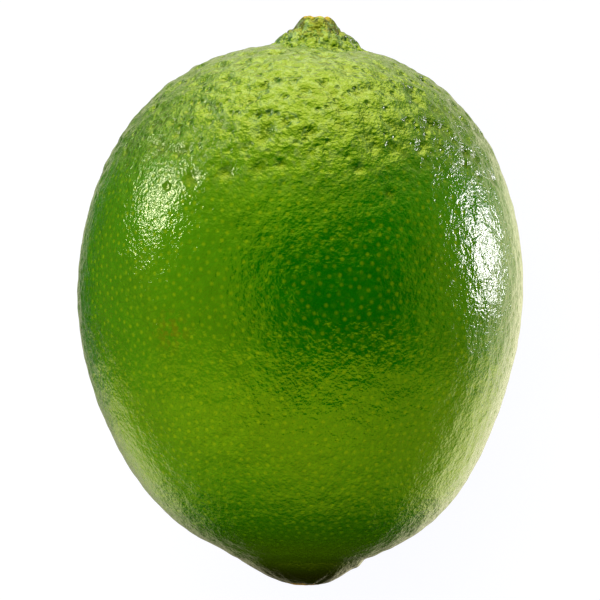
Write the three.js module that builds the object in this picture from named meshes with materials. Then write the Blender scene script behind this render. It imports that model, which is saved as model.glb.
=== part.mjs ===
// A fresh green lime, one solid: an egg-shaped body, the puckered neck that the stalk snapped off,
// the low nipple of the blossom end, and a pitted rind. It lies on its side, on a small flat spot.
// Millimetres, +Z up. The origin lies on the surface under its middle, and its neck points along +Y.
//
// The shape is worked out upright, in the fruit's own frame: neck up along z, and the flat spot
// facing +y. The last step lays it down.
import * as THREE from "three";

// Driving dimensions of the whole fruit
const WAIST_RADIUS = 25.95; // half of the 52 mm diameter
const BODY_HALF_HEIGHT = 30.37; // of the body alone, without its neck and nipple
const BODY_CENTRE_Z = 32.82; // above the end of the nipple
const SHOULDER_BOW = 0.27; // the shoulders lean this far towards +x, as on any fruit that hung askew
const BASE_BOW = 0.8; // and the blossom end this far

// How the body's radius departs from an ellipse, by powers of the height's cosine
const EGG_TAPER = 1.58;
const EGG_BARREL = 0.26;
const EGG_TWIST = -0.71;
const EGG_SHOULDER = 4.13;

// Neck of the stem end: a domed cap on a folded collar, off the body's axis
const NECK_X = 1.98;
const NECK_Y = -0.5;
const CAP_RADIUS = 2.85;
const CAP_HEIGHT = 1.75;
const CAP_FULLNESS = 2.6; // exponent of the cap's outline: 2 is a dome, more is flatter on top
const CAP_FURROWS = 7;
const CAP_FURROW_DEPTH = 0.16;
const CAP_FURROW_SWAY = 2; // times round the cap that the furrows crowd and spread
const FURROW_SPAN = { start: 0.2, full: 0.7, fading: 0.9, end: 1.5 }; // in cap radii
const COLLAR_INNER_RADIUS = 2.9;
const COLLAR_OUTER_RADIUS = 5.9;
const COLLAR_HEIGHT = 1.6;
const COLLAR_FOLDS = [
  { count: 5, turn: 0.7, reach: 0.45 }, // turn in radians, reach beyond the outer radius in mm
  { count: 2, turn: 2.2, reach: 0.27 },
];
const SCAR_RADIUS = 1.4; // pit left by the stalk, in the middle of the cap
const SCAR_FLOOR_RADIUS = 0.49;
const SCAR_DEPTH = 0.3;

// Nipple of the blossom end: a broad low knob, steepest on its +x side, on a faint skirt
const NIPPLE_X = 0.15;
const NIPPLE_Y = -0.2;
const NIPPLE_RADIUS = 7.5;
const NIPPLE_HEIGHT = 2.25;
const NIPPLE_SKEW = 0.55; // wider towards -x than towards +x by this
const NIPPLE_LOBES = 3;
const NIPPLE_LOBE_REACH = 0.25;
const NIPPLE_FULLNESS = 1.95; // exponent of its outline: 1 is a cone, 2 a dome
const NIPPLE_FULLNESS_SKEW = 0.5; // fuller, so steeper at its edge, towards +x
const NIPPLE_FOOT_BLEND = 0.16; // how softly its foot runs into the body: 0 is a sharp crease
const SKIRT_RADIUS = 10.5;
const SKIRT_HEIGHT = 0.27;

// Flat spot that the fruit lies on
const FLAT_SPOT_Y = 25.0; // how far it is from the fruit's axis: about 1 mm is pressed flat

// Relief of the rind
const LUMPS = [
  { along: [0.3, 0.9, 0.32], waves: 5.1, phase: 3.0, height: 0.12 },
  { along: [-0.42, 0.86, 0.28], waves: 6.3, phase: 3.3, height: 0.1 },
  { along: [0.31, -0.24, 0.92], waves: 7.7, phase: 5.2, height: 0.08 },
  { along: [-0.66, -0.6, 0.45], waves: 9.2, phase: 4.2, height: 0.06 },
];
const PIT_DEPTH = 0.1;
const CROWN_PIT_DEPTH = 0.22; // the pits are deeper round the neck
const PIT_DEPTH_SPREAD = 0.6; // from the shallowest pit to the deepest, as a share of the depth
const NECK_MARGIN = { from: 0.2, to: 0.3 }; // radians from the top where the pits begin
const NIPPLE_MARGIN = { from: 0.3, to: 0.42 }; // and from the bottom
const CROWN_START = 0.3; // share of the half height where the crown's coarse rind begins
const CROWN_FULL = 0.75;

// Spacing of the facets' corners
const SPACING = 1.62;
const END_SPACING = 0.8; // on the neck and on the nipple
const END_ANGLE = 0.25; // radians from each end where the fine spacing stops
const BLEND_ANGLE = 0.3; // over which it widens
const LEAN_ANGLE = 1.1; // from the top, where the rings of corners stop leaning to the neck
const OUTLINE_STEP = 0.001; // radians between two readings of the outline's length
const LEAST_CORNERS = 6; // in one ring
const JITTER = 0.14; // share of the spacing
const PIT_SHARE = 0.3; // of the corners are pits
const SEED = 11;

const RIND_GREEN = 0x4b8a12;
const RIND_ROUGHNESS = 0.38;

const EGG_TOP_RADIUS = WAIST_RADIUS + EGG_TAPER + EGG_BARREL + EGG_TWIST + EGG_SHOULDER;

const clamp01 = (v) => Math.min(1, Math.max(0, v));

function smoothStep(from, to, v) {
  const t = clamp01((v - from) / (to - from));
  return t * t * (3 - 2 * t);
}

// Numbers from 0 to 1 that are the same on each run (the mulberry32 rule).
function seededRandom(seed) {
  let state = seed;
  return () => {
    state = (state + 0x6d2b79f5) | 0;
    let t = Math.imul(state ^ (state >>> 15), 1 | state);
    t = (t + Math.imul(t ^ (t >>> 7), 61 | t)) ^ t;
    return ((t ^ (t >>> 14)) >>> 0) / 2 ** 32;
  };
}

// Unit direction at an angle from the top and an azimuth, leaning to the neck near the top.
function leaningDirection(fromTop, azimuth) {
  const lean = (1 - smoothStep(0, LEAN_ANGLE, fromTop)) / EGG_TOP_RADIUS;
  return new THREE.Vector3(
    Math.sin(fromTop) * Math.cos(azimuth) + NECK_X * lean,
    Math.sin(fromTop) * Math.sin(azimuth) + NECK_Y * lean,
    Math.cos(fromTop),
  ).normalize();
}

// Egg-shaped body with its low, wide lumps.
function bodyPoint(direction) {
  const c = direction.z;
  const eggRadius =
    WAIST_RADIUS + c * (EGG_TAPER + c * (EGG_BARREL + c * (EGG_TWIST + c * EGG_SHOULDER)));
  let swell = 0;
  for (const { along, waves, phase, height } of LUMPS) {
    const place = direction.x * along[0] + direction.y * along[1] + direction.z * along[2];
    swell += height * Math.sin(waves * place + phase);
  }
  const radius = eggRadius + swell;
  const shoulderShare = 4 * c * c * (1 - c * c); // 0 at the waist and at the top, 1 between them
  const bow = c > 0 ? SHOULDER_BOW * shoulderShare : BASE_BOW * c ** 4;
  return new THREE.Vector3(
    direction.x * radius + bow,
    direction.y * radius,
    BODY_CENTRE_Z + BODY_HALF_HEIGHT * c,
  );
}

// Height that the neck adds at a distance and bearing from its own axis.
function neckHeight(distance, bearing) {
  let reach = COLLAR_OUTER_RADIUS;
  for (const fold of COLLAR_FOLDS) reach += fold.reach * Math.sin(fold.count * bearing + fold.turn);
  const collar = COLLAR_HEIGHT * (1 - smoothStep(COLLAR_INNER_RADIUS, reach, distance));
  const share = distance / CAP_RADIUS;
  const dome = CAP_HEIGHT * (1 - clamp01(share) ** CAP_FULLNESS);
  const grooved =
    smoothStep(FURROW_SPAN.start, FURROW_SPAN.full, share) *
    (1 - smoothStep(FURROW_SPAN.fading, FURROW_SPAN.end, share));
  const wave = Math.cos(CAP_FURROWS * bearing + Math.sin(CAP_FURROW_SWAY * bearing));
  const furrow = CAP_FURROW_DEPTH * grooved * wave;
  const scar = SCAR_DEPTH * (1 - smoothStep(SCAR_FLOOR_RADIUS, SCAR_RADIUS, distance));
  return collar + dome - furrow - scar;
}

// Depth that the nipple and its skirt add below the body.
function nippleDepth(distance, bearing) {
  const lobe = NIPPLE_LOBE_REACH * Math.sin(NIPPLE_LOBES * bearing);
  const radius = NIPPLE_RADIUS - NIPPLE_SKEW * Math.cos(bearing) + lobe;
  const fullness = NIPPLE_FULLNESS + NIPPLE_FULLNESS_SKEW * Math.cos(bearing);
  const share = 1 - (distance / radius) ** fullness;
  const knob = (NIPPLE_HEIGHT * (share + Math.hypot(share, NIPPLE_FOOT_BLEND))) / 2;
  const skirt = SKIRT_HEIGHT * (1 - smoothStep(radius, SKIRT_RADIUS, distance));
  return knob + skirt;
}

// Point of the smooth fruit, without its pits. The very end of the nipple is blunt.
function fruitPoint(fromTop, azimuth) {
  const direction = leaningDirection(fromTop, azimuth);
  const point = bodyPoint(direction);
  if (direction.z > 0) {
    const dx = point.x - NECK_X;
    const dy = point.y - NECK_Y;
    point.z += neckHeight(Math.hypot(dx, dy), Math.atan2(dy, dx));
  } else {
    const dx = point.x - NIPPLE_X;
    const dy = point.y - NIPPLE_Y;
    point.z -= nippleDepth(Math.hypot(dx, dy), Math.atan2(dy, dx));
  }
  point.z = Math.max(0, point.z);
  return point;
}

// How deep a pit is at this angle from the top: deepest round the neck, none on the neck or the nipple.
function pitDepth(fromTop) {
  const crown = smoothStep(CROWN_START, CROWN_FULL, Math.cos(fromTop));
  const onBody =
    smoothStep(NECK_MARGIN.from, NECK_MARGIN.to, fromTop) *
    smoothStep(NIPPLE_MARGIN.from, NIPPLE_MARGIN.to, Math.PI - fromTop);
  return onBody * (PIT_DEPTH + (CROWN_PIT_DEPTH - PIT_DEPTH) * crown);
}

// Corner spacing at this angle from the top, in millimetres.
function spacingAt(fromTop) {
  const fromEnd = Math.min(fromTop, Math.PI - fromTop);
  return THREE.MathUtils.lerp(
    END_SPACING,
    SPACING,
    smoothStep(END_ANGLE, END_ANGLE + BLEND_ANGLE, fromEnd),
  );
}

// Angles from the top of the rings of corners, one spacing apart along the outline.
function ringAngles() {
  const angles = [];
  let travelled = 0;
  let last = fruitPoint(0, Math.PI / 2);
  for (let angle = OUTLINE_STEP; angle < Math.PI - OUTLINE_STEP; angle += OUTLINE_STEP) {
    const next = fruitPoint(angle, Math.PI / 2);
    travelled += next.distanceTo(last);
    last = next;
    if (travelled >= spacingAt(angle) * Math.sin(Math.PI / 3)) {
      angles.push(angle);
      travelled = 0;
    }
  }
  return angles;
}

// One ring of corners round the fruit: the index of its first corner, their number and their azimuths.
function makeRing(fromTop, ringNumber, corners, random) {
  const across = fruitPoint(fromTop, 0).distanceTo(fruitPoint(fromTop, Math.PI));
  const count = Math.max(LEAST_CORNERS, Math.round((Math.PI * across) / spacingAt(fromTop)));
  const ring = { first: corners.length, azimuths: [] };
  const turn = (2 * Math.PI) / count;
  const jitter = (JITTER * spacingAt(fromTop)) / WAIST_RADIUS;
  const centre = new THREE.Vector3(0, 0, BODY_CENTRE_Z);
  for (let i = 0; i < count; i++) {
    const azimuth = turn * (i + (ringNumber % 2) / 2 + JITTER * (random() - 0.5));
    const angle = fromTop + jitter * (random() - 0.5);
    const corner = fruitPoint(angle, azimuth);
    if (random() < PIT_SHARE) {
      const inward = centre.clone().sub(corner).normalize();
      const depth = pitDepth(angle) * (1 + PIT_DEPTH_SPREAD * (random() - 0.5));
      corner.addScaledVector(inward, depth);
    }
    corner.y = Math.min(FLAT_SPOT_Y, corner.y);
    ring.azimuths.push(azimuth);
    corners.push(corner);
  }
  return ring;
}

// Triangles between two rings, walking round both and always taking the shorter way across.
function stitchRings(upper, lower, faces) {
  const uppers = upper.azimuths.length;
  const lowers = lower.azimuths.length;
  const azimuthOf = (ring, i) =>
    ring.azimuths[i % ring.azimuths.length] + 2 * Math.PI * Math.floor(i / ring.azimuths.length);
  let u = 0;
  let l = 0;
  while (u < uppers || l < lowers) {
    const a = upper.first + (u % uppers);
    const b = lower.first + (l % lowers);
    const stepUpper =
      l >= lowers || (u < uppers && azimuthOf(upper, u + 1) < azimuthOf(lower, l + 1));
    if (stepUpper) {
      faces.push(a, b, upper.first + ((u + 1) % uppers));
      u += 1;
    } else {
      faces.push(a, b, lower.first + ((l + 1) % lowers));
      l += 1;
    }
  }
}

// Fan of triangles that closes a ring at an end corner.
function closeEnd(end, ring, facingUp, faces) {
  const count = ring.azimuths.length;
  for (let i = 0; i < count; i++) {
    const here = ring.first + i;
    const next = ring.first + ((i + 1) % count);
    faces.push(end, facingUp ? here : next, facingUp ? next : here);
  }
}

function limeGeometry() {
  const random = seededRandom(SEED);
  const corners = [fruitPoint(0, 0), fruitPoint(Math.PI, 0)];
  const faces = [];
  const rings = ringAngles().map((angle, i) => makeRing(angle, i, corners, random));
  closeEnd(0, rings[0], true, faces);
  for (let i = 1; i < rings.length; i++) stitchRings(rings[i - 1], rings[i], faces);
  closeEnd(1, rings[rings.length - 1], false, faces);
  const geometry = new THREE.BufferGeometry().setFromPoints(corners).setIndex(faces);
  geometry.computeVertexNormals();
  return geometry;
}

function makeLime() {
  const rind = new THREE.MeshStandardMaterial({
    color: RIND_GREEN,
    roughness: RIND_ROUGHNESS,
    metalness: 0,
  });
  const lime = new THREE.Mesh(limeGeometry(), rind);
  lime.name = "lime";
  lime.rotation.x = -Math.PI / 2;
  const box = new THREE.Box3().setFromObject(lime, true);
  const middle = box.getCenter(new THREE.Vector3());
  lime.position.set(-middle.x, -middle.y, -box.min.z);
  return lime;
}

const fruit = new THREE.Group();
fruit.add(makeLime());

export default fruit;
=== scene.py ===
"""A fresh green lime, lying on a pale floor in soft studio light, seen from straight above.

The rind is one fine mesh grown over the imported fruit: oil glands are scattered over it and pushed
apart, the surface is drawn between them, and each gland becomes a dimple with a paler dot.
Lengths are millimetres until a mesh or a light is made, which takes metres.
"""

import logging
import math
from dataclasses import dataclass, field
from enum import Enum

import bmesh
import bpy
import numpy as np
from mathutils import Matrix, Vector, kdtree, noise


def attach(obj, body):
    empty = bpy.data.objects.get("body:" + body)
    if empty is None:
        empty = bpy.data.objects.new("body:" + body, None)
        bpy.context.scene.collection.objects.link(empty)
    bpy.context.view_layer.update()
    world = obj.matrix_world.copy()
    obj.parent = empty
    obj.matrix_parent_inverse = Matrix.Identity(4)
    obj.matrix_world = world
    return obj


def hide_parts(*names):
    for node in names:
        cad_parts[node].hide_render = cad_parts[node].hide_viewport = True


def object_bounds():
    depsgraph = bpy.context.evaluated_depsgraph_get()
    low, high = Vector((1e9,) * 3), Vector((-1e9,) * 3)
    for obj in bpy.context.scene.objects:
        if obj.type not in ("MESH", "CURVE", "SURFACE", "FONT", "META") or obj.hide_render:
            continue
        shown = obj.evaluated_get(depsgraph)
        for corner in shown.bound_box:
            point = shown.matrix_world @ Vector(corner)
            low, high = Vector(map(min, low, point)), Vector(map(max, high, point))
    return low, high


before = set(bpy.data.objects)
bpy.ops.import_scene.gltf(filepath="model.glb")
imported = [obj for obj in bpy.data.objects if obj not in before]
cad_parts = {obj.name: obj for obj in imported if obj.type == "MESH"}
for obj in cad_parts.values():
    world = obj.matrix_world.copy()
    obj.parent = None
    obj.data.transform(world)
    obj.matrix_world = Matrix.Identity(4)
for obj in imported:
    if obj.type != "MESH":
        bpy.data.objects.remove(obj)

CAD_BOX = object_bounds()
MM = 0.001
TINY = 1e-6
# A mix node's colour sockets share their names with its number sockets, so they go by place.
MIX_UNDER, MIX_OVER, MIX_RESULT = 6, 7, 2
log = logging.getLogger("lime")
Tree = bpy.types.NodeTree
Socket = bpy.types.NodeSocket


def linear(hex_colour: str) -> tuple[float, float, float, float]:
    """Turn an sRGB hex colour into the linear numbers that a shader takes.

    Args:
        hex_colour: Six hex digits after a hash sign, such as "#3f7a12".

    Returns:
        Red, green, blue and an alpha of one.
    """
    channels = []
    for start in (1, 3, 5):
        value = int(hex_colour[start : start + 2], 16) / 255
        channels.append(value / 12.92 if value <= 0.04045 else ((value + 0.055) / 1.055) ** 2.4)
    return (*channels, 1.0)


def smooth_step(low: float, high: float, value: np.ndarray) -> np.ndarray:
    """Rise smoothly from 0 at the low value to 1 at the high one."""
    t = np.clip((value - low) / (high - low), 0, 1)
    return t * t * (3 - 2 * t)


def unit(vectors: np.ndarray) -> np.ndarray:
    """Scale each row of an array to length one."""
    return vectors / np.linalg.norm(vectors, axis=1, keepdims=True)


def add_node(
    tree: Tree,
    kind: str,
    settings: dict | None = None,
    links: dict | None = None,
    **options: object,
) -> bpy.types.Node:
    """Add one shader node with its socket values and its links.

    Args:
        tree: The node tree that it goes into.
        kind: The node's type name.
        settings: Socket name or number to a fixed value.
        links: Socket name or number to the output socket that feeds it.
        options: Properties of the node itself, such as operation="MULTIPLY".

    Returns:
        The new node.
    """
    node = tree.nodes.new(kind)
    for name, value in options.items():
        setattr(node, name, value)
    for socket, value in (settings or {}).items():
        node.inputs[socket].default_value = value
    for socket, source in (links or {}).items():
        tree.links.new(source, node.inputs[socket])
    return node


def rise(tree: Tree, value: Socket, start: float, end: float, top: float = 1.0) -> Socket:
    """Rise smoothly from 0 where a value is at its start to a top where it is at its end.

    Args:
        tree: The node tree.
        value: The value's socket.
        start: Where the result is 0; it may be more than the end.
        end: Where the result is at its top.
        top: The highest result.

    Returns:
        The result's socket.
    """
    falls = start > end
    return add_node(
        tree,
        "ShaderNodeMapRange",
        {
            "From Min": min(start, end),
            "From Max": max(start, end),
            "To Min": top if falls else 0.0,
            "To Max": 0.0 if falls else top,
        },
        {"Value": value},
        interpolation_type="SMOOTHSTEP",
    ).outputs["Result"]


def add(tree: Tree, first: Socket, second: Socket) -> Socket:
    """Add two values."""
    return add_node(tree, "ShaderNodeMath", {}, {0: first, 1: second}, operation="ADD").outputs[0]


def multiply(tree: Tree, first: Socket, second: Socket) -> Socket:
    """Multiply two values."""
    return add_node(tree, "ShaderNodeMath", {}, {0: first, 1: second}, operation="MULTIPLY").outputs[0]


def dot_with(tree: Tree, vector: Socket, axis: Vector) -> Socket:
    """Measure a vector along an axis."""
    return add_node(
        tree, "ShaderNodeVectorMath", {1: axis}, {0: vector}, operation="DOT_PRODUCT"
    ).outputs["Value"]


def mix(tree: Tree, share: Socket, under: Socket, over: str) -> Socket:
    """Lay a plain colour, given in hex, over another one by a share of 0 to 1."""
    colours = {MIX_OVER: linear(over)}
    node = add_node(tree, "ShaderNodeMix", colours, {0: share, MIX_UNDER: under}, data_type="RGBA")
    return node.outputs[MIX_RESULT]


@dataclass(frozen=True)
class Ripple:
    """Smooth random relief: the width and height of its hills, and a shift so that two differ."""

    wavelength: float
    height: float
    shift: float

    def lift(self, points: np.ndarray) -> np.ndarray:
        """Work out how far each point is lifted, from about minus the height to the height."""
        places = points / self.wavelength + self.shift
        return self.height * np.array([noise.noise(Vector(place)) for place in places])


@dataclass(frozen=True)
class Lump:
    """One low, wide wave of the body's surface."""

    along: tuple[float, float, float]
    waves: float
    phase: float
    height: float


@dataclass(frozen=True)
class Fold:
    """One wave of the collar's edge round the neck."""

    count: int
    turn: float
    reach: float


@dataclass(frozen=True)
class FruitShape:
    """The smooth fruit as a formula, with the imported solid's own sizes, in millimetres."""

    waist_radius: float = 25.95
    body_half_height: float = 30.37
    body_centre_z: float = 32.82
    shoulder_bow: float = 0.27
    base_bow: float = 0.8
    egg_taper: float = 1.58
    egg_barrel: float = 0.26
    egg_twist: float = -0.71
    egg_shoulder: float = 4.13
    neck_axis: tuple[float, float] = (1.98, -0.5)
    cap_radius: float = 2.85
    cap_height: float = 1.75
    cap_fullness: float = 2.6
    cap_furrows: int = 7
    cap_furrow_depth: float = 0.16
    furrow_span: tuple[float, float, float, float] = (0.2, 0.7, 0.9, 1.5)
    collar_inner_radius: float = 2.9
    collar_outer_radius: float = 5.9
    collar_height: float = 1.6
    collar_folds: tuple[Fold, ...] = (Fold(5, 0.7, 0.45), Fold(2, 2.2, 0.27))
    scar_radius: float = 1.4
    scar_floor_radius: float = 0.49
    scar_depth: float = 0.3
    nipple_axis: tuple[float, float] = (0.15, -0.2)
    nipple_radius: float = 7.5
    nipple_height: float = 2.25
    nipple_skew: float = 0.55
    nipple_fullness: float = 1.95
    nipple_fullness_skew: float = 0.5
    nipple_foot_blend: float = 0.16
    nipple_lobes: int = 3
    nipple_lobe_reach: float = 0.25
    skirt_radius: float = 10.5
    skirt_height: float = 0.27
    flat_spot_y: float = 25.0
    lumps: tuple[Lump, ...] = (
        Lump((0.3, 0.9, 0.32), 5.1, 3.0, 0.12),
        Lump((-0.42, 0.86, 0.28), 6.3, 3.3, 0.1),
        Lump((0.31, -0.24, 0.92), 7.7, 5.2, 0.08),
        Lump((-0.66, -0.6, 0.45), 9.2, 4.2, 0.06),
    )

    def egg_radius(self, height: np.ndarray) -> np.ndarray:
        """Work out how wide the egg is before its sine.

        Args:
            height: Cosine of the angle from the top.

        Returns:
            Radius in millimetres for each height.
        """
        return self.waist_radius + height * (
            self.egg_taper
            + height * (self.egg_barrel + height * (self.egg_twist + height * self.egg_shoulder))
        )

    def bow(self, height: np.ndarray) -> np.ndarray:
        """Work out how far the middle leans towards +X, by the cosine of the angle from the top."""
        shoulder = self.shoulder_bow * 4 * height**2 * (1 - height**2)
        return np.where(height > 0, shoulder, self.base_bow * height**4)

    def body(self, directions: np.ndarray) -> np.ndarray:
        """Place points on the bare body.

        Args:
            directions: Unit vectors out of its middle, one a row.

        Returns:
            The points, in millimetres.
        """
        height = directions[:, 2]
        radius = self.egg_radius(height)
        for lump in self.lumps:
            wave = np.sin(lump.waves * directions @ np.array(lump.along) + lump.phase)
            radius = radius + lump.height * wave
        return np.stack(
            [
                directions[:, 0] * radius + self.bow(height),
                directions[:, 1] * radius,
                self.body_centre_z + self.body_half_height * height,
            ],
            axis=1,
        )

    def direction_of(self, points: np.ndarray, height: np.ndarray) -> np.ndarray:
        """Find the direction that leads to each point of the bare body.

        Args:
            points: Points near the body, in millimetres.
            height: Cosine of the angle from the top, roughly.

        Returns:
            Unit vectors out of the body's middle.
        """
        radius = self.egg_radius(height)
        return unit(
            np.stack(
                [
                    (points[:, 0] - self.bow(height)) / radius,
                    points[:, 1] / radius,
                    (points[:, 2] - self.body_centre_z) / self.body_half_height,
                ],
                axis=1,
            )
        )

    @staticmethod
    def from_axis(points: np.ndarray, axis: tuple[float, float]) -> tuple[np.ndarray, np.ndarray]:
        """Measure how far points stand from an upright axis, and their bearing in radians."""
        dx, dy = points[:, 0] - axis[0], points[:, 1] - axis[1]
        return np.hypot(dx, dy), np.arctan2(dy, dx)

    def neck_height(self, distance: np.ndarray, bearing: np.ndarray) -> np.ndarray:
        """Work out what the neck adds on top of the body.

        Args:
            distance: From the neck's axis, in millimetres.
            bearing: Round it, in radians.

        Returns:
            Height in millimetres.
        """
        reach = self.collar_outer_radius + sum(
            fold.reach * np.sin(fold.count * bearing + fold.turn) for fold in self.collar_folds
        )
        collar = self.collar_height * (1 - smooth_step(self.collar_inner_radius, reach, distance))
        share = distance / self.cap_radius
        dome = self.cap_height * (1 - np.clip(share, 0, 1) ** self.cap_fullness)
        start, full, fade, stop = self.furrow_span
        grooved = smooth_step(start, full, share) * (1 - smooth_step(fade, stop, share))
        wave = np.cos(self.cap_furrows * bearing + np.sin(2 * bearing))
        scar = self.scar_depth * (1 - smooth_step(self.scar_floor_radius, self.scar_radius, distance))
        return collar + dome - self.cap_furrow_depth * grooved * wave - scar

    def nipple_depth(self, distance: np.ndarray, bearing: np.ndarray) -> np.ndarray:
        """Work out what the nipple and its skirt add below the body.

        Args:
            distance: From the nipple's axis, in millimetres.
            bearing: Round it, in radians.

        Returns:
            Depth in millimetres.
        """
        lobes = self.nipple_lobe_reach * np.sin(self.nipple_lobes * bearing)
        radius = self.nipple_radius - self.nipple_skew * np.cos(bearing) + lobes
        fullness = self.nipple_fullness + self.nipple_fullness_skew * np.cos(bearing)
        share = 1 - (distance / radius) ** fullness
        knob = self.nipple_height * (share + np.hypot(share, self.nipple_foot_blend)) / 2
        return knob + self.skirt_height * (1 - smooth_step(radius, self.skirt_radius, distance))

    def lay_down(self, points: np.ndarray) -> np.ndarray:
        """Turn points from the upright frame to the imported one, where the fruit lies on its side.

        Args:
            points: Points of the whole upright fruit, in millimetres.

        Returns:
            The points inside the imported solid's box, in millimetres.
        """
        lying = np.stack([points[:, 0], points[:, 2], -points[:, 1]], axis=1)
        low, high = (np.array(corner) / MM for corner in CAD_BOX)
        lying[:, :2] += (low[:2] + high[:2] - lying[:, :2].min(axis=0) - lying[:, :2].max(axis=0)) / 2
        lying[:, 2] += low[2] - lying[:, 2].min()
        return np.clip(lying, low, high)

    def outward(self, points: np.ndarray) -> np.ndarray:
        """Point straight out of the body at each point.

        Args:
            points: Points near the surface, in millimetres.

        Returns:
            Unit vectors.
        """
        flat = points.copy()
        flat[:, 2] -= self.body_centre_z
        return unit(flat / np.array([self.waist_radius, self.waist_radius, self.body_half_height]) ** 2)


@dataclass
class GlandField:
    """Where the oil glands stand, with closer points on the neck and the nipple to shape them."""

    shape: FruitShape
    spacing: float = 1.2
    cap_spacing: float = 0.42
    collar_spacing: float = 0.52
    nipple_spacing: float = 0.72
    foot_spacing: float = 0.5
    cap_reach: float = 3.2
    collar_reach: float = 6.4
    nipple_reach: float = 8.6
    foot_reach: float = 2.8
    jitter: float = 0.65
    rounds: int = 5
    neighbours: int = 7
    crowding: float = 1.08
    push: float = 0.45
    seed: int = 7
    directions: np.ndarray = field(init=False)
    bare: np.ndarray = field(init=False)

    def wanted_spacing(self, points: np.ndarray) -> np.ndarray:
        """Give the distance that points keep from each other.

        Args:
            points: Points on the bare body, in millimetres.

        Returns:
            Spacing in millimetres.
        """
        spacing = np.full(len(points), self.spacing)
        top = points[:, 2] > self.shape.body_centre_z
        from_neck, _ = self.shape.from_axis(points, self.shape.neck_axis)
        from_nipple, _ = self.shape.from_axis(points, self.shape.nipple_axis)
        spacing[top & (from_neck < self.collar_reach)] = self.collar_spacing
        spacing[top & (from_neck < self.cap_reach)] = self.cap_spacing
        spacing[~top & (from_nipple < self.nipple_reach)] = self.nipple_spacing
        spacing[~top & (from_nipple < self.foot_reach)] = self.foot_spacing
        return spacing

    def spiral_sphere(self, spacing: float) -> np.ndarray:
        """Spread directions evenly over the whole fruit on one spiral.

        Args:
            spacing: Distance between neighbours, in millimetres.

        Returns:
            Unit vectors.
        """
        waist, half = self.shape.waist_radius, self.shape.body_half_height
        area = 4 * math.pi * waist * (waist + 2 * half) / 3
        count = int(area / (spacing**2 * math.sin(math.pi / 3)))
        turn = math.pi * (3 - math.sqrt(5))
        steps = np.arange(count)
        z = 1 - (2 * steps + 1) / count
        ring = np.sqrt(1 - z * z)
        return np.stack([ring * np.cos(turn * steps), ring * np.sin(turn * steps), z], axis=1)

    def grow(self) -> None:
        """Scatter the points, then push them apart until each keeps its spacing."""
        draw = np.random.default_rng(self.seed)
        kept = []
        for spacing in sorted(
            {self.spacing, self.cap_spacing, self.collar_spacing, self.nipple_spacing, self.foot_spacing}
        ):
            directions = self.spiral_sphere(spacing)
            wanted = self.wanted_spacing(self.shape.body(directions))
            kept.append(directions[np.isclose(wanted, spacing)])
        directions = np.concatenate(kept)
        points = self.shape.body(directions)
        wanted = self.wanted_spacing(points)
        points += draw.normal(size=points.shape) * (self.jitter * wanted)[:, None]
        directions = self.shape.direction_of(points, directions[:, 2])
        for _ in range(self.rounds):
            directions = self.push_apart(directions)
        self.directions = directions
        points = self.shape.body(directions)
        self.bare = self.wanted_spacing(points) < self.spacing

    def push_apart(self, directions: np.ndarray) -> np.ndarray:
        """Move each point away from neighbours that stand too close.

        Args:
            directions: Unit vectors to the points.

        Returns:
            The moved unit vectors.
        """
        points = self.shape.body(directions)
        wanted = self.wanted_spacing(points) * self.crowding
        tree = kdtree.KDTree(len(points))
        for i, point in enumerate(points):
            tree.insert(point, i)
        tree.balance()
        near = np.array(
            [[found[1] for found in tree.find_n(point, self.neighbours + 1)[1:]] for point in points]
        )
        apart = points[:, None, :] - points[near]
        distance = np.linalg.norm(apart, axis=2) + TINY
        keep = (wanted[:, None] + wanted[near]) / 2
        lack = np.clip(keep - distance, 0, None) / distance
        points = points + self.push * (apart * lack[:, :, None]).sum(axis=1)
        return self.shape.direction_of(points, directions[:, 2])


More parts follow.
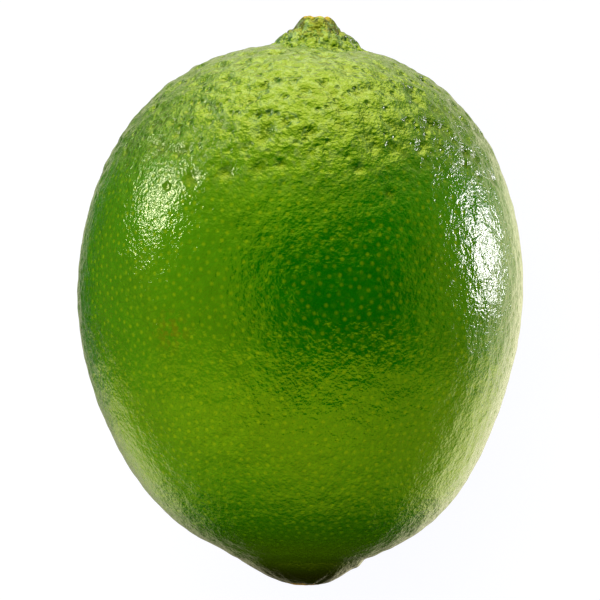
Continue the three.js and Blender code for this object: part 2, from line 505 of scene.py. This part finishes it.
@dataclass(frozen=True)
class WaxyRind:
    """Fresh lime rind: living skin under natural wax.

    The wax gives tight highlights, which the skin's grain breaks into glints; the oil glands show
    through it as pale dots. Dry cork, with no wax, rings the scar of the stalk and the nipple's tip.
    """

    name: str = "waxy_lime_rind"
    # The skin: two close greens in wide patches, with small yellower flecks.
    deep_green: str = "#085902"
    light_green: str = "#0e6003"
    mottle_width: float = 7.0
    mottle_edge: tuple[float, float] = (0.35, 0.65)
    speckle_green: str = "#2e6a04"
    speckle_width: float = 0.9
    speckle_edge: tuple[float, float] = (0.45, 0.7)
    speckle_share: float = 0.5
    # The crown: paler where its bloom of wax is unbroken. It is greyest in the middle, which is partly
    # grey bloom and partly a painted sheen of the head-end light. It is darker in the pits and pores,
    # which is painted shade.
    crown_green: str = "#125008"
    bloom_green: str = "#3a640c"
    bloom_and_sheen_grey: str = "#486a62"
    bloom_width: float = 0.8
    bloom_edge: tuple[float, float] = (0.48, 0.62)
    pit_shade_green: str = "#0a4203"
    # Both ends turn darker, browner and olive. The neck's dark green and the nipple's brown are partly
    # their own drier skin and partly painted shade.
    neck_green_and_shade: str = "#0e2004"
    nipple_brown_and_shade: str = "#1c2005"
    end_olive: str = "#34500a"
    # The small worn patch is broken up by flakes.
    blemish_brown: str = "#4c4a08"
    flake_edge: tuple[float, float] = (0.4, 0.6)
    # Dry cork: tan, with brown specks.
    cork_tan: str = "#a87828"
    cork_brown: str = "#6b2c08"
    cork_grain: float = 0.5
    tan_edge: tuple[float, float] = (0.3, 0.55)
    brown_edge: tuple[float, float] = (0.62, 0.7)
    # Glands show as pale dots with soft edges.
    gland: str = "#587a06"
    gland_radius: float = 0.36
    gland_core: float = 0.05
    # Real skin cells are finer: the grain is drawn coarse enough to break up a highlight.
    grain_width: float = 0.37
    grain_height: float = 0.2
    waist_grain: float = 0.44
    crown_grain: float = 0.85
    pock_spacing: float = 1.1
    pock_radius: float = 0.46
    pock_depth: float = 1.3
    pock_choice: tuple[float, float] = (0.35, 0.6)
    # Wax: tight, bright reflections, which the green skin under it tints.
    wax_roughness: float = 0.12
    cork_roughness: float = 0.55
    ior: float = 1.5
    specular_level: float = 0.9
    specular_tint: str = "#e7ff70"

    def build(self) -> bpy.types.Material:
        """Make the material.

        Returns:
            The material, ready to put on a mesh that carries the rind's attributes.
        """
        material = bpy.data.materials.new(self.name)
        material.use_nodes = True
        tree = material.node_tree
        tree.nodes.clear()
        place = add_node(tree, "ShaderNodeTexCoord").outputs["Object"]
        dry = self.attribute(tree, "cork")
        crown = self.attribute(tree, "crown")
        pock = self.pocks(tree, place, crown)
        colour = self.skin_colour(tree, place, crown)
        colour = self.gland_colour(tree, colour)
        colour = self.cork_colour(tree, place, dry, colour)
        # Painted shade: the crown's small pores are darkened with the pits' green.
        colour = mix(tree, pock, colour, self.pit_shade_green)
        roughness = add_node(
            tree,
            "ShaderNodeMapRange",
            {"To Min": self.wax_roughness, "To Max": self.cork_roughness},
            {"Value": dry},
        ).outputs["Result"]
        grain = self.grain(tree, place, crown, pock)
        surface = add_node(
            tree,
            "ShaderNodeBsdfPrincipled",
            {
                "IOR": self.ior,
                "Specular IOR Level": self.specular_level,
                "Metallic": 0.0,
                "Specular Tint": linear(self.specular_tint),
            },
            {"Base Color": colour, "Roughness": roughness, "Normal": grain},
        )
        add_node(tree, "ShaderNodeOutputMaterial", {}, {"Surface": surface.outputs[0]})
        return material

    def pocks(self, tree: Tree, place: Socket, crown: Socket) -> Socket:
        """Choose the small pores of the crown: about half of the cells of an even pattern.

        Args:
            tree: The material's node tree.
            place: Where the surface is, in metres.
            crown: How far the surface is in the coarse crown, 0 to 1.

        Returns:
            How deep in a pore the surface is, 0 to 1.
        """
        cell = add_node(
            tree, "ShaderNodeTexVoronoi", {"Scale": 1 / (self.pock_spacing * MM)}, {"Vector": place}
        )
        drawn = add_node(tree, "ShaderNodeSeparateColor", {}, {0: cell.outputs["Color"]}).outputs[0]
        pock = rise(tree, cell.outputs["Distance"], self.pock_radius, 0.0)
        return multiply(tree, multiply(tree, pock, rise(tree, drawn, *self.pock_choice)), crown)

    def grain(self, tree: Tree, place: Socket, crown: Socket, pock: Socket) -> Socket:
        """Roughen the skin with a fine grain, coarser on the crown, and sink its pores.

        Args:
            tree: The material's node tree.
            place: Where the surface is, in metres.
            crown: How far the surface is in the coarse crown, 0 to 1.
            pock: How deep in a pore it is, 0 to 1.

        Returns:
            The bent normal's socket.
        """
        height = add_node(
            tree,
            "ShaderNodeMath",
            {1: -self.pock_depth},
            {0: pock, 2: self.noise(tree, place, self.grain_width)},
            operation="MULTIPLY_ADD",
        ).outputs[0]
        strength = add_node(
            tree,
            "ShaderNodeMapRange",
            {"To Min": self.waist_grain, "To Max": self.crown_grain},
            {"Value": crown},
        ).outputs["Result"]
        return add_node(
            tree,
            "ShaderNodeBump",
            {"Distance": self.grain_height * MM},
            {"Strength": strength, "Height": height},
        ).outputs["Normal"]

    def skin_colour(self, tree: Tree, place: Socket, crown: Socket) -> Socket:
        """Paint the living skin: mottled green, with painted shade in the pits. Both ends are darker and
        browner, partly as painted shade. The middle of the crown is greyer, from bloom and a painted
        sheen.

        Args:
            tree: The material's node tree.
            place: Where the surface is, in metres.
            crown: How far the surface is in the coarse crown, 0 to 1.

        Returns:
            The colour's socket.
        """
        mottle = rise(tree, self.noise(tree, place, self.mottle_width, 3.0), *self.mottle_edge)
        speckle = rise(
            tree, self.noise(tree, place, self.speckle_width), *self.speckle_edge, self.speckle_share
        )
        bloom = rise(tree, self.noise(tree, place, self.bloom_width), *self.bloom_edge)
        flaked = rise(tree, self.noise(tree, place, self.bloom_width, 3.0), *self.flake_edge)
        base = add_node(tree, "ShaderNodeRGB")
        base.outputs[0].default_value = linear(self.deep_green)
        colour = mix(tree, mottle, base.outputs[0], self.light_green)
        colour = mix(tree, speckle, colour, self.speckle_green)
        worn = multiply(tree, self.attribute(tree, "blemish"), flaked)
        colour = mix(tree, worn, colour, self.blemish_brown)
        # The pits' green is painted shade. The neck's and the nipple's darker colours are partly their
        # own skin and partly painted shade.
        for name, over in (
            ("crown", self.crown_green),
            ("pit_shade", self.pit_shade_green),
            ("neck", self.neck_green_and_shade),
            ("blossom_end", self.end_olive),
            ("nipple", self.nipple_brown_and_shade),
        ):
            colour = mix(tree, self.attribute(tree, name), colour, over)
        colour = mix(tree, multiply(tree, crown, bloom), colour, self.bloom_green)
        # Grey wax bloom with a painted sheen: greyest in the middle of the crown, where the head-end
        # light is reflected.
        return mix(tree, multiply(tree, self.attribute(tree, "bloom_and_sheen"), bloom), colour, self.bloom_and_sheen_grey)

    def gland_colour(self, tree: Tree, skin: Socket) -> Socket:
        """Let the oil glands show through the skin as soft round dots.

        Args:
            tree: The material's node tree.
            skin: The skin's colour.

        Returns:
            The colour's socket.
        """
        offset = self.attribute(tree, "gland_offset", "Vector")
        length = add_node(tree, "ShaderNodeVectorMath", {}, {0: offset}, operation="LENGTH")
        dot = rise(tree, length.outputs["Value"], self.gland_radius, self.gland_core)
        shown = multiply(tree, dot, self.attribute(tree, "gland_tone"))
        return mix(tree, shown, skin, self.gland)

    def cork_colour(self, tree: Tree, place: Socket, dry: Socket, skin: Socket) -> Socket:
        """Lay tan and brown cork over the skin where it has dried.

        Args:
            tree: The material's node tree.
            place: Where the surface is, in metres.
            dry: How dry the surface is, 0 to 1.
            skin: The skin's colour.

        Returns:
            The colour's socket.
        """
        patches = self.noise(tree, place, self.cork_grain)
        tan = multiply(tree, dry, rise(tree, patches, *self.tan_edge))
        brown = multiply(tree, dry, rise(tree, patches, *self.brown_edge))
        return mix(tree, brown, mix(tree, tan, skin, self.cork_tan), self.cork_brown)

    @staticmethod
    def noise(tree: Tree, place: Socket, width: float, detail: float = 2.0) -> Socket:
        """Make a smooth random pattern, about 0.5 in the mean, with patches of a width in millimetres."""
        return add_node(
            tree, "ShaderNodeTexNoise", {"Scale": 1 / (width * MM), "Detail": detail}, {"Vector": place}
        ).outputs["Fac"]

    @staticmethod
    def attribute(tree: Tree, name: str, output: str = "Fac") -> Socket:
        """Read one of the mesh's attributes."""
        return add_node(tree, "ShaderNodeAttribute", attribute_name=name).outputs[output]


@dataclass(frozen=True)
class NeckCreases:
    """Small blisters on the collar, with creases between them, and a finely wrinkled cap."""

    start: tuple[float, float] = (2.0, 3.2)
    fade: tuple[float, float] = (5.0, 6.8)
    cap_edge: tuple[float, float] = (2.2, 3.2)
    blisters: Ripple = Ripple(1.3, 1.0, 5.0)
    wrinkles: Ripple = Ripple(0.6, 0.4, 2.0)
    fine: Ripple = Ripple(0.8, 0.16, 1.0)
    cap_share: float = 0.875
    crease_edge: float = 0.3
    crease_depth: float = 0.4

    def depth(self, points: np.ndarray, distance: np.ndarray) -> np.ndarray:
        """Work out how deep the creases are.

        Args:
            points: All corners, in millimetres.
            distance: Of each from the neck's axis, in millimetres.

        Returns:
            Depth at each corner, in millimetres.
        """
        depth = np.zeros(len(points))
        near = distance < self.fade[1]
        points, distance = points[near], distance[near]
        share = smooth_step(*self.start, distance) * (1 - smooth_step(*self.fade, distance))
        on_cap = 1 - smooth_step(*self.cap_edge, distance)
        folds = np.abs(self.blisters.lift(points) + self.wrinkles.lift(points))
        crease = self.crease_depth * (1 - smooth_step(0.0, self.crease_edge, folds))
        depth[near] = share * crease - (share + self.cap_share * on_cap) * self.fine.lift(points)
        return depth


@dataclass(frozen=True)
class NippleCreases:
    """The creased foot of the nipple, its streaks, and the small lip at its right side."""

    foot_radius: float
    reach: float = 10.0
    foot_wander: Ripple = Ripple(3.0, 0.5, 2.0)
    foot_width: float = 0.7
    foot_depth: float = 0.07
    knob_edge: tuple[float, float] = (4.0, 8.5)
    streak_turns: float = 4.0
    streak_run: float = 0.25
    streaks: Ripple = Ripple(1.0, 0.12, 4.0)
    fine: Ripple = Ripple(1.2, 0.06, 7.0)
    lip_radius: float = 6.7
    lip_width: float = 0.6
    lip_spread: float = 0.4
    lip_height: float = 0.25
    lip_lumps: Ripple = Ripple(0.9, 0.8, 6.0)

    def depth(self, points: np.ndarray, distance: np.ndarray, bearing: np.ndarray) -> np.ndarray:
        """Work out how deep the creases are.

        Args:
            points: All corners, in millimetres.
            distance: Of each from the nipple's axis, in millimetres.
            bearing: Of each round it, in radians.

        Returns:
            Depth at each corner, in millimetres.
        """
        depth = np.zeros(len(points))
        near = distance < self.reach
        points, distance, bearing = points[near], distance[near], bearing[near]
        rim = self.foot_radius + self.foot_wander.lift(points)
        foot = self.foot_depth * np.exp(-(((distance - rim) / self.foot_width) ** 2))
        run = np.stack([bearing * self.streak_turns, distance * self.streak_run, 0 * rim], axis=1)
        knob = 1 - smooth_step(*self.knob_edge, distance)
        across = (distance - self.lip_radius) / self.lip_width
        lip = self.lip_height * np.exp(-(across**2) - (bearing / self.lip_spread) ** 2)
        lip *= 1 + self.lip_lumps.lift(points)
        depth[near] = foot + knob * (self.streaks.lift(run) + self.fine.lift(points)) - lip
        return depth


@dataclass
class Lime:
    """The whole fruit as one fine mesh."""

    shape: FruitShape
    glands: GlandField
    finish: WaxyRind
    seed: int = 21
    neck_edge: tuple[float, float] = (5.2, 6.6)
    nipple_edge: tuple[float, float] = (5.5, 9.0)
    crown_edge: tuple[float, float] = (0.36, 0.7)
    swells: tuple[Ripple, ...] = (Ripple(1.4, 0.08, 3.0), Ripple(3.0, 0.04, 9.0))
    swell_at_ends: float = 0.3
    swell_on_crown: float = 2.5
    dimple_depth: float = 0.06
    dimple_spread: tuple[float, float] = (0.3, 1.5)
    # Width of the band along the crown's middle that carries the painted sheen.
    bloom_and_sheen_width: float = 13.0
    neck_colour_edge: tuple[float, float] = (2.6, 5.2)
    nipple_colour_edge: tuple[float, float] = (4.5, 10.0)
    olive_edge: tuple[float, float] = (9.0, 20.0)
    stalk_cork_edge: tuple[float, float] = (1.2, 1.9)
    tip_cork_edge: tuple[float, float] = (1.0, 2.6)
    gland_tones: tuple[float, float] = (0.3, 1.0)
    gland_loss_on_crown: float = 0.7
    gland_fade: tuple[float, float] = (7.0, 18.0)
    blemish_x: float = -14.5
    blemish_z: float = 29.7
    blemish_radius: float = 1.9
    blemish_share: float = 0.7
    pit_share: float = 0.23
    pit_radius: tuple[float, float] = (0.4, 0.9)
    pit_depth: tuple[float, float] = (0.1, 0.31)
    pit_steepness: int = 4
    pit_reach: float = 2.2

    def coarse_triangles(self) -> np.ndarray:
        """Join the glands with triangles: the hull of their directions.

        Returns:
            Three gland numbers a row, counted anticlockwise from outside.
        """
        net = bmesh.new()
        for direction in self.glands.directions:
            net.verts.new(direction)
        net.verts.ensure_lookup_table()
        net.verts.index_update()
        bmesh.ops.convex_hull(net, input=net.verts[:])
        triangles = np.array([[v.index for v in f.verts] for f in net.faces])
        net.free()
        a, b, c = (self.glands.directions[triangles[:, k]] for k in range(3))
        inward = np.einsum("ij,ij->i", np.cross(b - a, c - a), a) < 0
        triangles[inward] = triangles[inward][:, ::-1]
        return triangles

    def split(self, triangles: np.ndarray) -> tuple[np.ndarray, np.ndarray, np.ndarray]:
        """Split every coarse triangle into nine.

        Args:
            triangles: Three gland numbers a row.

        Returns:
            Directions of all corners with the glands first, the fine triangles, and the gland that
            each of them touches, or -1.
        """
        directions = self.glands.directions
        count = len(directions)
        pairs = np.sort(
            np.concatenate([triangles[:, [0, 1]], triangles[:, [1, 2]], triangles[:, [2, 0]]]), axis=1
        )
        edges, where = np.unique(pairs, axis=0, return_inverse=True)
        where = where.reshape(3, -1)
        low, high = directions[edges[:, 0]], directions[edges[:, 1]]
        thirds = np.stack([(2 * low + high) / 3, (low + 2 * high) / 3], axis=1).reshape(-1, 3)
        middles = directions[triangles].mean(axis=1)
        all_directions = unit(np.concatenate([directions, thirds, middles]))

        def along(side: int, near: np.ndarray) -> np.ndarray:
            """Number the third of a side that stands nearest to one of its ends."""
            edge = where[side]
            return count + 2 * edge + (edges[edge, 1] == near)

        a, b, c = triangles.T
        ab, ba = along(0, a), along(0, b)
        bc, cb = along(1, b), along(1, c)
        ca, ac = along(2, c), along(2, a)
        m = count + len(thirds) + np.arange(len(triangles))
        fine = [
            (a, ab, ac, a),
            (ab, m, ac, a),
            (ba, b, bc, b),
            (ba, bc, m, b),
            (ca, cb, c, c),
            (m, cb, ca, c),
            (ab, ba, m, None),
            (ac, m, ca, None),
            (m, bc, cb, None),
        ]
        faces = np.concatenate([np.stack(corners[:3], axis=1) for corners in fine])
        owner = np.concatenate([np.full(len(a), -1) if f[3] is None else f[3] for f in fine])
        return all_directions, faces, owner

    def raise_surface(self, directions: np.ndarray) -> tuple[np.ndarray, dict[str, np.ndarray]]:
        """Place every corner, with all the relief of the rind.

        Args:
            directions: Unit vectors out of the body's middle.

        Returns:
            The points in millimetres, and named values for the finish.
        """
        shape = self.shape
        draw = np.random.default_rng(self.seed)
        points = shape.body(directions)
        outward = shape.outward(points)
        top = directions[:, 2] > 0
        from_neck, neck_bearing = shape.from_axis(points, shape.neck_axis)
        from_nipple, nipple_bearing = shape.from_axis(points, shape.nipple_axis)
        from_neck = np.where(top, from_neck, math.inf)
        from_nipple = np.where(top, math.inf, from_nipple)
        crown = smooth_step(*self.crown_edge, directions[:, 2])
        open_body = smooth_step(*self.neck_edge, from_neck) * smooth_step(*self.nipple_edge, from_nipple)
        pits = self.pits(points, crown, open_body, draw)
        depth = self.dimples(len(points), open_body, draw) + pits
        swelling = self.swell_at_ends + (1 - self.swell_at_ends) * open_body
        swelling *= 1 + (self.swell_on_crown - 1) * crown
        depth -= swelling * sum(swell.lift(points) for swell in self.swells)
        depth += NeckCreases().depth(points, from_neck)
        depth += NippleCreases(shape.nipple_radius).depth(points, from_nipple, nipple_bearing)
        points = points - outward * depth[:, None]
        low = ~top
        points[top, 2] += shape.neck_height(from_neck[top], neck_bearing[top])
        points[low, 2] -= shape.nipple_depth(from_nipple[low], nipple_bearing[low])
        points[:, 2] = np.maximum(points[:, 2], 0)
        points[:, 1] = np.minimum(points[:, 1], shape.flat_spot_y)
        from_blemish = np.hypot(points[:, 0] - self.blemish_x, points[:, 2] - self.blemish_z)
        worn = self.blemish_share * np.exp(-((from_blemish / self.blemish_radius) ** 2))
        clean = smooth_step(*self.stalk_cork_edge, from_neck)
        clean *= smooth_step(*self.tip_cork_edge, from_nipple)
        values = {
            "crown": crown,
            # The crown's middle band, where the grey bloom carries a painted sheen of the head-end light.
            "bloom_and_sheen": crown * np.exp(-((points[:, 0] / self.bloom_and_sheen_width) ** 2)),
            # Painted shade in the crown's wide pits.
            "pit_shade": np.sqrt(np.clip(pits / self.pit_depth[1], 0, 1)),
            # The neck's and the nipple's darker colours: partly their own skin, partly painted shade.
            "neck": 1 - smooth_step(*self.neck_colour_edge, from_neck),
            "nipple": 1 - smooth_step(*self.nipple_colour_edge, from_nipple),
            "blossom_end": 1 - smooth_step(*self.olive_edge, from_nipple),
            "cork": 1 - clean,
            "blemish": np.where(points[:, 1] < 0, worn, 0),
        }
        return shape.lay_down(points), values

    def dimples(self, corners: int, share: np.ndarray, draw: np.random.Generator) -> np.ndarray:
        """Sink a small dimple over each gland.

        Args:
            corners: How many corners the mesh has; the glands come first.
            share: How far each corner is on the open body, 0 to 1.
            draw: The random numbers.

        Returns:
            Depth at each corner, in millimetres.
        """
        count = len(self.glands.directions)
        depth = np.zeros(corners)
        depth[:count] = self.dimple_depth * draw.uniform(*self.dimple_spread, count)
        return depth * share

    def pits(
        self, points: np.ndarray, crown: np.ndarray, share: np.ndarray, draw: np.random.Generator
    ) -> np.ndarray:
        """Sink the wide pits of the crown.

        Args:
            points: All corners, in millimetres, the glands first.
            crown: How far each corner is in the coarse crown, 0 to 1.
            share: How far it is on the open body, 0 to 1.
            draw: The random numbers.

        Returns:
            Depth at each corner, in millimetres.
        """
        count = len(self.glands.directions)
        tree = kdtree.KDTree(len(points))
        for i, point in enumerate(points):
            tree.insert(point, i)
        tree.balance()
        depth = np.zeros(len(points))
        chance = self.pit_share * crown[:count] * share[:count]
        for gland in np.flatnonzero(draw.random(count) < chance):
            radius = draw.uniform(*self.pit_radius)
            deepest = draw.uniform(*self.pit_depth)
            for _, i, distance in tree.find_range(points[gland], self.pit_reach * radius):
                depth[i] = max(depth[i], deepest * math.exp(-((distance / radius) ** self.pit_steepness)))
        return depth

    def build(self) -> bpy.types.Object:
        """Make the fruit's object.

        Returns:
            The dressed object.
        """
        directions, faces, owner = self.split(self.coarse_triangles())
        points, values = self.raise_surface(directions)
        mesh = bpy.data.meshes.new("lime_rind")
        mesh.from_pydata((points * MM).tolist(), [], faces.tolist())
        for name, value in values.items():
            store = mesh.attributes.new(name, "FLOAT", "POINT")
            store.data.foreach_set("value", value.astype(np.float32))
        self.mark_glands(mesh, points, faces, owner)
        mesh.shade_smooth()
        mesh.materials.append(self.finish.build())
        piece = bpy.data.objects.new("lime_rind", mesh)
        bpy.context.scene.collection.objects.link(piece)
        return piece

    def mark_glands(
        self, mesh: bpy.types.Mesh, points: np.ndarray, faces: np.ndarray, owner: np.ndarray
    ) -> None:
        """Write for each face how far its corners stand from its gland, and how pale the gland is.

        Args:
            mesh: The mesh to write to.
            points: Its corners, in millimetres.
            faces: Its triangles.
            owner: Each triangle's gland, or -1.
        """
        draw = np.random.default_rng(self.seed + 1)
        directions = self.glands.directions
        crown = smooth_step(*self.crown_edge, directions[:, 2])
        tones = draw.uniform(*self.gland_tones, len(directions)) * (1 - self.gland_loss_on_crown * crown)
        from_nipple, _ = self.shape.from_axis(self.shape.body(directions), self.shape.nipple_axis)
        tones *= np.where(directions[:, 2] < 0, smooth_step(*self.gland_fade, from_nipple), 1)
        tones[self.glands.bare] = 0
        offsets = points[faces] - points[owner][:, None, :]
        offsets[owner < 0] = 1.0
        store = mesh.attributes.new("gland_offset", "FLOAT_VECTOR", "CORNER")
        store.data.foreach_set("vector", offsets.astype(np.float32).ravel())
        store = mesh.attributes.new("gland_tone", "FLOAT", "FACE")
        store.data.foreach_set("value", np.where(owner < 0, 0, tones[owner]).astype(np.float32))


class LightPart(Enum):
    """What a soft light belongs to, which sets its colour."""

    KEY = "key"
    HEAD = "head"
    ROOM = "room"
    REAR = "rear"
    TABLE = "table"


@dataclass(frozen=True)
class SoftBox:
    """A soft light far away, seen from the fruit in one direction, round or stretched along +Y."""

    name: str
    towards: tuple[float, float, float]
    core_degrees: float
    edge_degrees: float
    strength: float
    stretch: float = 1.0
    part: LightPart = LightPart.ROOM

    def glow(self, tree: Tree, look: Socket) -> Socket:
        """Work out how brightly the light is seen in each direction, in a node with its name.

        Args:
            tree: The world's node tree.
            look: The direction's socket.

        Returns:
            The brightness's socket.
        """
        toward = Vector(self.towards).normalized()
        across = toward.cross(Vector((0, 1, 0))).normalized() if self.stretch != 1 else None
        if across is None:
            closeness = dot_with(tree, look, toward)
        else:
            tall = across.cross(toward) / self.stretch
            parts = [dot_with(tree, look, axis) for axis in (across, tall, toward)]
            seen = add_node(tree, "ShaderNodeCombineXYZ", {}, dict(enumerate(parts))).outputs[0]
            seen = add_node(tree, "ShaderNodeVectorMath", {}, {0: seen}, operation="NORMALIZE")
            closeness = add_node(tree, "ShaderNodeSeparateXYZ", {}, {0: seen.outputs[0]}).outputs["Z"]
        edge, core = (math.cos(math.radians(angle)) for angle in (self.edge_degrees, self.core_degrees))
        glow = rise(tree, closeness, edge, core, self.strength)
        glow.node.label = self.name
        return glow


@dataclass(frozen=True)
class DarkSide:
    """A side from which no light comes, with a soft edge."""

    name: str
    towards: tuple[float, float, float]
    core_degrees: float
    edge_degrees: float

    def away(self, tree: Tree, look: Socket) -> Socket:
        """Work out where light is let through, 0 in the core to 1 outside, in a node with its name.

        Args:
            tree: The world's node tree.
            look: The direction's socket.

        Returns:
            The share's socket.
        """
        facing = dot_with(tree, look, Vector(self.towards).normalized())
        core, edge = (math.cos(math.radians(angle)) for angle in (self.core_degrees, self.edge_degrees))
        share = rise(tree, facing, core, edge)
        share.node.label = self.name
        return share


@dataclass
class Studio:
    """Pale floor, soft light and camera."""

    # Two small lights at the sides give the highlights, the head end lights the crown, the walls and
    # the table fill the flanks, and faint lights from the rear draw the rims.
    boxes: tuple[SoftBox, ...] = (
        SoftBox("left_key", (-0.9, 0.44, 0.02), 1.6, 3.6, 80.0, 3.2, LightPart.KEY),
        SoftBox("right_key", (0.92, 0.14, -0.37), 4, 7, 50.0, 1.6, LightPart.KEY),
        SoftBox("head_end", (0.0, 1.0, -0.1), 20, 43, 4.3, part=LightPart.HEAD),
        SoftBox("head_end_spill", (0.0, 1.0, -0.1), 42, 72, 1.1, part=LightPart.HEAD),
        SoftBox("head_end_front", (0.0, 0.75, 0.65), 15, 38, 0.85),
        SoftBox("left_wall", (-0.75, 0.1, 0.6), 25, 60, 1.05),
        SoftBox("right_wall", (0.99, 0.05, 0.12), 10, 33, 0.7),
        SoftBox("left_side", (-0.93, 0.1, -0.35), 15, 38, 0.5),
        SoftBox("left_rear", (-0.38, -0.5, -0.78), 8, 29, 1.1, part=LightPart.REAR),
        SoftBox("right_rear", (0.65, -0.14, -0.75), 16, 40, 1.4, part=LightPart.REAR),
        SoftBox("low_right_rear", (0.46, -0.3, -0.85), 12, 28, 0.5, part=LightPart.REAR),
        SoftBox("backdrop", (0.0, 0.25, -0.97), 10, 33, 0.8, part=LightPart.REAR),
        SoftBox("table_left", (-0.85, -0.41, -0.34), 15, 50, 0.85, part=LightPart.TABLE),
        SoftBox("table_right", (0.85, -0.38, -0.36), 15, 45, 0.85, part=LightPart.TABLE),
    )
    head_light: str = "#fff798"
    room_light: str = "#fdff54"
    rear_light: str = "#fff6d2"
    key_light: str = "#c2b4f8"
    table_front: float = 2.0
    table_tilt: float = 0.2
    table_edge: float = 0.32
    table_edge_blur: float = 0.07
    table_rear: float = -0.4
    table_near: float = 0.9
    # The camera and the fruit's own shadow keep two places dark.
    dark_sides: tuple[DarkSide, ...] = (
        DarkSide("camera", (0.005, 0.0, 1.0), 15, 30),
        DarkSide("own_shadow", (0.0, -0.8, -0.6), 20, 42),
    )
    floor_half: float = 3.0
    floor_white: str = "#7c7c7c"
    floor_roughness: float = 0.9
    floor_glow_colour: str = "#e4e4f7"
    floor_glow: float = 1.1
    camera_distance: float = 600.0
    field_width: float = 69.96
    sensor_width: float = 36.0
    sight: float = 20.0
    aim_y: float = 0.05

    def build_world(self) -> None:
        """Light the fruit from all round and show white behind it."""
        world = bpy.data.worlds.new("soft_studio")
        bpy.context.scene.world = world
        world.use_nodes = True
        tree = world.node_tree
        tree.nodes.clear()
        look = add_node(tree, "ShaderNodeTexCoord").outputs["Generated"]
        front = add_node(tree, "ShaderNodeSeparateXYZ", {}, {0: look}).outputs["Z"]
        on_table = rise(tree, front, self.table_rear, self.table_near, self.table_front)
        sums = {LightPart.TABLE: on_table}
        for box in self.boxes:
            glow = box.glow(tree, look)
            sums[box.part] = add(tree, sums[box.part], glow) if box.part in sums else glow
        below = dot_with(tree, look, Vector((0, -1, -self.table_tilt)))
        edge = rise(tree, below, self.table_edge, self.table_edge + self.table_edge_blur)
        table = multiply(tree, sums.pop(LightPart.TABLE), edge)
        sums[LightPart.ROOM] = add(tree, sums[LightPart.ROOM], table)
        colours = {
            LightPart.KEY: self.key_light,
            LightPart.HEAD: self.head_light,
            LightPart.ROOM: self.room_light,
            LightPart.REAR: self.rear_light,
        }
        lights = []
        for part, glow in sums.items():
            for side in self.dark_sides:
                glow = multiply(tree, glow, side.away(tree, look))
            colour = {"Color": linear(colours[part])}
            lights.append(add_node(tree, "ShaderNodeBackground", colour, {"Strength": glow}).outputs[0])
        lit = lights[0]
        for light in lights[1:]:
            lit = add_node(tree, "ShaderNodeAddShader", {}, {0: lit, 1: light}).outputs[0]
        white = add_node(tree, "ShaderNodeBackground", {"Color": linear("#ffffff")}).outputs[0]
        seen = add_node(tree, "ShaderNodeLightPath").outputs["Is Camera Ray"]
        mixed = add_node(tree, "ShaderNodeMixShader", {}, {0: seen, 1: lit, 2: white})
        add_node(tree, "ShaderNodeOutputWorld", {}, {"Surface": mixed.outputs[0]})

    def build_floor(self) -> bpy.types.Object:
        """Lay the pale floor.

        Returns:
            The floor.
        """
        half = self.floor_half
        mesh = bpy.data.meshes.new("floor")
        mesh.from_pydata(
            [(-half, -half, 0), (half, -half, 0), (half, half, 0), (-half, half, 0)], [], [(0, 1, 2, 3)]
        )
        material = bpy.data.materials.new("matt_white_floor")
        material.use_nodes = True
        surface = material.node_tree.nodes["Principled BSDF"]
        surface.inputs["Base Color"].default_value = linear(self.floor_white)
        surface.inputs["Roughness"].default_value = self.floor_roughness
        surface.inputs["Specular IOR Level"].default_value = 0.0
        surface.inputs["Emission Color"].default_value = linear(self.floor_glow_colour)
        surface.inputs["Emission Strength"].default_value = self.floor_glow
        mesh.materials.append(material)
        floor = bpy.data.objects.new("floor", mesh)
        floor.visible_glossy = False
        floor.visible_diffuse = False
        floor.visible_shadow = False
        bpy.context.scene.collection.objects.link(floor)
        return floor

    def build_camera(self) -> bpy.types.Object:
        """Hang the camera straight over the fruit, far enough away to flatten it.

        Returns:
            The camera.
        """
        data = bpy.data.cameras.new("camera")
        data.sensor_width = self.sensor_width
        data.lens = self.sensor_width * self.camera_distance / self.field_width
        data.clip_end = self.sight
        camera = bpy.data.objects.new("camera", data)
        middle_height = CAD_BOX[1][2] / 2
        camera.location = (0.0, self.aim_y * MM, middle_height + self.camera_distance * MM)
        bpy.context.scene.collection.objects.link(camera)
        bpy.context.scene.camera = camera
        return camera


def main() -> None:
    """Build the studio and the fruit."""
    logging.basicConfig(level=logging.INFO, format="%(name)s: %(message)s")
    bpy.context.scene.view_settings.view_transform = "Standard"
    studio = Studio()
    studio.build_camera()
    studio.build_world()
    floor = studio.build_floor()
    shape = FruitShape()
    glands = GlandField(shape)
    glands.grow()
    log.info("glands: %d", len(glands.directions))
    rind = Lime(shape, glands, WaxyRind()).build()
    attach(rind, "root")
    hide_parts("lime")
    log.info("%s: %d faces", rind.name, len(rind.data.polygons))


if __name__ == "__main__":
    main()
